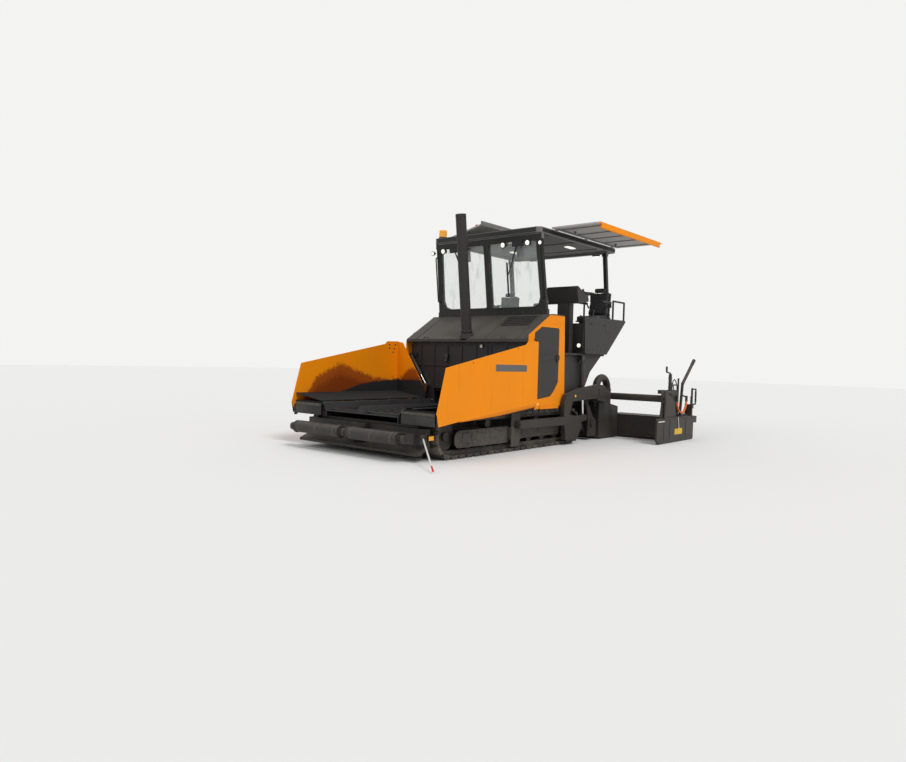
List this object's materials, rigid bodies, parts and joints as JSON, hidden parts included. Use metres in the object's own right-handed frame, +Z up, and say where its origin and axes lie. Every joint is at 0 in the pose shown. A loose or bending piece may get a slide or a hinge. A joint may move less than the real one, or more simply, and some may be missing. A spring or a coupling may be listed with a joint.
{
  "type": "asphalt paver",
  "caption": "Tracked asphalt paver: folding hopper wings, slat conveyors, augers and a lifting screed with sliding extensions; seats and a sliding panel under a folding canopy.",
  "frame": {"origin": "centre of the bounding box at the ground", "axes": "+X forward to the hopper, +Y to the machine's left, +Z up"},
  "size_m": [7, 4.7046, 3.7425],
  "materials": {
    "orange_paint": "satin, dusty and stained with asphalt",
    "dark_paint": "matt, dusty",
    "black_paint": "matt, with asphalt film",
    "pale_cover": "matt, sun bleached",
    "worn_steel": "oily, worn, with asphalt film",
    "engine_metal": "matt",
    "track_rubber": "worn, dusty",
    "chromed_rod": "polished",
    "window_glass": "clear, dusty",
    "lamp_lens": "clear",
    "white_paint": "satin",
    "wheel_plastic": "grained",
    "seat_cover": "woven, worn"
  },
  "bodies": {
    "tractor": {"chassis_frame": "worn_steel", "track_left": "track_rubber", "track_right": "track_rubber", "track_frames": "worn_steel", "running_wheels": "worn_steel", "hopper_floor": "black_paint", "conveyor_slats": "black_paint", "guide_rod": "white_paint", "hood": "dark_paint", "engine_block": "engine_metal", "exhaust_stack": "black_paint", "side_panels": "orange_paint", "rear_body": "dark_paint", "operator_deck": "dark_paint", "hopper_wall": "black_paint", "cylinder_mounts": "black_paint"},
    "push_beam": {"push_beam": "worn_steel"},
    "control_panel": {"control_panel": "dark_paint"},
    "steering_wheel": {"steering_wheel": "wheel_plastic"},
    "windscreen": {"windscreen_frame": "black_paint", "windscreen_glass": "window_glass", "work_lamps": "lamp_lens"},
    "roof": {"roof": "pale_cover"},
    "rear_posts": {"rear_posts": "black_paint"},
    "auger_frame": {"auger_frame": "worn_steel"},
    "screed": {"tow_arms": "worn_steel", "screed_main": "worn_steel"},
    "wing_left": {"wing_left": "orange_paint"},
    "wing_barrel_left": {"wing_barrel_left": "worn_steel"},
    "wing_rod_left": {"wing_rod_left": "chromed_rod"},
    "push_roller_left": {"push_roller_left": "worn_steel"},
    "side_door_left": {"side_door_left": "dark_paint"},
    "awning_left": {"awning_left": "pale_cover"},
    "auger_left": {"auger_left": "worn_steel"},
    "extension_left": {"extension_left": "worn_steel"},
    "end_gate_left": {"end_gate_left": "worn_steel"},
    "lift_barrel_left": {"lift_barrel_left": "worn_steel"},
    "lift_rod_left": {"lift_rod_left": "chromed_rod"},
    "console_left": {"console_left": "dark_paint", "seat_left": "seat_cover"},
    "wing_right": {"wing_right": "orange_paint"},
    "wing_barrel_right": {"wing_barrel_right": "worn_steel"},
    "wing_rod_right": {"wing_rod_right": "chromed_rod"},
    "push_roller_right": {"push_roller_right": "worn_steel"},
    "side_door_right": {"side_door_right": "dark_paint"},
    "awning_right": {"awning_right": "pale_cover"},
    "auger_right": {"auger_right": "worn_steel"},
    "extension_right": {"extension_right": "worn_steel"},
    "end_gate_right": {"end_gate_right": "worn_steel"},
    "lift_barrel_right": {"lift_barrel_right": "worn_steel"},
    "lift_rod_right": {"lift_rod_right": "chromed_rod"},
    "console_right": {"console_right": "dark_paint", "seat_right": "seat_cover"}
  },
  "joints": [
    {"name": "wing_left_fold", "type": "hinge", "parent": "tractor", "child": "wing_left", "pos_m": [1.88, 0.8, 0.64], "axis": [1, 0, 0], "range_deg": [0, 55]},
    {"name": "wing_barrel_left_swing", "type": "hinge", "parent": "tractor", "child": "wing_barrel_left", "pos_m": [0.7, 1.215, 1.4], "axis": [1, 0, 0], "range_deg": [-12, 3]},
    {"name": "wing_rod_left_stroke", "type": "slide", "parent": "wing_barrel_left", "child": "wing_rod_left", "axis": [0, -0.5988, -0.8009], "range_m": [-0.005, 0.22]},
    {"name": "wing_right_fold", "type": "hinge", "parent": "tractor", "child": "wing_right", "pos_m": [1.88, -0.8, 0.64], "axis": [-1, 0, 0], "range_deg": [0, 55]},
    {"name": "wing_barrel_right_swing", "type": "hinge", "parent": "tractor", "child": "wing_barrel_right", "pos_m": [0.7, -1.215, 1.4], "axis": [-1, 0, 0], "range_deg": [-12, 3]},
    {"name": "wing_rod_right_stroke", "type": "slide", "parent": "wing_barrel_right", "child": "wing_rod_right", "axis": [0, 0.5988, -0.8009], "range_m": [-0.005, 0.22]},
    {"name": "push_beam_swivel", "type": "hinge", "parent": "tractor", "child": "push_beam", "pos_m": [2.95, 0, 0.305], "axis": [0, 0, 1], "range_deg": [-6, 6]},
    {"name": "push_roller_left_spin", "type": "hinge", "parent": "push_beam", "child": "push_roller_left", "pos_m": [3.23, 0.5525, 0.305], "axis": [0, 1, 0], "continuous": true},
    {"name": "push_roller_right_spin", "type": "hinge", "parent": "push_beam", "child": "push_roller_right", "pos_m": [3.23, -0.5525, 0.305], "axis": [0, 1, 0], "continuous": true},
    {"name": "side_door_left_swing", "type": "hinge", "parent": "tractor", "child": "side_door_left", "pos_m": [0.605, 1.284, 1.3], "axis": [0, 0, -1], "range_deg": [0, 90]},
    {"name": "side_door_right_swing", "type": "hinge", "parent": "tractor", "child": "side_door_right", "pos_m": [0.605, -1.284, 1.3], "axis": [0, 0, 1], "range_deg": [0, 90]},
    {"name": "control_panel_slide", "type": "slide", "parent": "tractor", "child": "control_panel", "axis": [0, 1, 0], "range_m": [-1.97, 0]},
    {"name": "steering_wheel_turn", "type": "hinge", "parent": "control_panel", "child": "steering_wheel", "pos_m": [-1.27, 0.985, 2.54], "axis": [0, 0, 1], "continuous": true},
    {"name": "windscreen_fold", "type": "hinge", "parent": "tractor", "child": "windscreen", "pos_m": [0.04225, 0, 2.14369], "axis": [0, -1, 0], "range_deg": [0, 45]},
    {"name": "roof_level", "type": "hinge", "parent": "windscreen", "child": "roof", "pos_m": [0.20508, 0, 3.3023], "axis": [0, -1, 0], "range_deg": [-45, 0]},
    {"name": "rear_posts_fold", "type": "hinge", "parent": "tractor", "child": "rear_posts", "pos_m": [-2.129, 0, 2.14369], "axis": [0, -1, 0], "range_deg": [0, 45]},
    {"name": "awning_left_fold", "type": "hinge", "parent": "roof", "child": "awning_left", "pos_m": [-1.12, 1.135, 3.4643], "axis": [1, 0, 0], "range_deg": [0, 166]},
    {"name": "awning_right_fold", "type": "hinge", "parent": "roof", "child": "awning_right", "pos_m": [-1.12, -1.135, 3.4643], "axis": [1, 0, 0], "range_deg": [0, 166]},
    {"name": "console_left_slide", "type": "slide", "parent": "tractor", "child": "console_left", "axis": [0, 1, 0], "range_m": [0, 0.3]},
    {"name": "console_right_slide", "type": "slide", "parent": "tractor", "child": "console_right", "axis": [0, -1, 0], "range_m": [0, 0.3]},
    {"name": "auger_lift", "type": "slide", "parent": "tractor", "child": "auger_frame", "axis": [0, 0, 1], "range_m": [0, 0.12]},
    {"name": "auger_left_spin", "type": "hinge", "parent": "auger_frame", "child": "auger_left", "pos_m": [-1.34, 0.625, 0.3], "axis": [0, 1, 0], "continuous": true},
    {"name": "auger_right_spin", "type": "hinge", "parent": "auger_frame", "child": "auger_right", "pos_m": [-1.34, -0.625, 0.3], "axis": [0, 1, 0], "continuous": true},
    {"name": "screed_lift", "type": "hinge", "parent": "tractor", "child": "screed", "pos_m": [1.05, 0, 0.4], "axis": [0, 1, 0], "range_deg": [0, 6]},
    {"name": "extension_left_slide", "type": "slide", "parent": "screed", "child": "extension_left", "axis": [0, 1, 0], "range_m": [-1.008, 0.15]},
    {"name": "end_gate_left_lift", "type": "slide", "parent": "extension_left", "child": "end_gate_left", "axis": [0, 0, 1], "range_m": [0, 0.1]},
    {"name": "lift_barrel_left_swing", "type": "hinge", "parent": "tractor", "child": "lift_barrel_left", "pos_m": [-0.87, 1.255, 1.415], "axis": [0, 1, 0], "range_deg": [-8, 1]},
    {"name": "lift_rod_left_stroke", "type": "slide", "parent": "lift_barrel_left", "child": "lift_rod_left", "axis": [-0.0801, 0, -0.9968], "range_m": [-0.22, 0.005]},
    {"name": "extension_right_slide", "type": "slide", "parent": "screed", "child": "extension_right", "axis": [0, -1, 0], "range_m": [-1.008, 0.15]},
    {"name": "end_gate_right_lift", "type": "slide", "parent": "extension_right", "child": "end_gate_right", "axis": [0, 0, 1], "range_m": [0, 0.1]},
    {"name": "lift_barrel_right_swing", "type": "hinge", "parent": "tractor", "child": "lift_barrel_right", "pos_m": [-0.87, -1.255, 1.415], "axis": [0, 1, 0], "range_deg": [-8, 1]},
    {"name": "lift_rod_right_stroke", "type": "slide", "parent": "lift_barrel_right", "child": "lift_rod_right", "axis": [-0.0801, 0, -0.9968], "range_m": [-0.22, 0.005]}
  ],
  "couplings": [
    {"joint": "wing_barrel_left_swing", "follows": "wing_left_fold", "ratio": -0.19618},
    {"joint": "wing_rod_left_stroke", "follows": "wing_left_fold", "m_per_rad": 0.19559},
    {"joint": "wing_barrel_right_swing", "follows": "wing_right_fold", "ratio": -0.19618},
    {"joint": "wing_rod_right_stroke", "follows": "wing_right_fold", "m_per_rad": 0.19559},
    {"joint": "roof_level", "follows": "windscreen_fold", "ratio": -1},
    {"joint": "rear_posts_fold", "follows": "windscreen_fold", "ratio": 1},
    {"joint": "lift_barrel_left_swing", "follows": "screed_lift", "ratio": 0.07094},
    {"joint": "lift_rod_left_stroke", "follows": "screed_lift", "m_per_rad": -1.9984},
    {"joint": "lift_barrel_right_swing", "follows": "screed_lift", "ratio": 0.07094},
    {"joint": "lift_rod_right_stroke", "follows": "screed_lift", "m_per_rad": -1.9984}
  ]
}
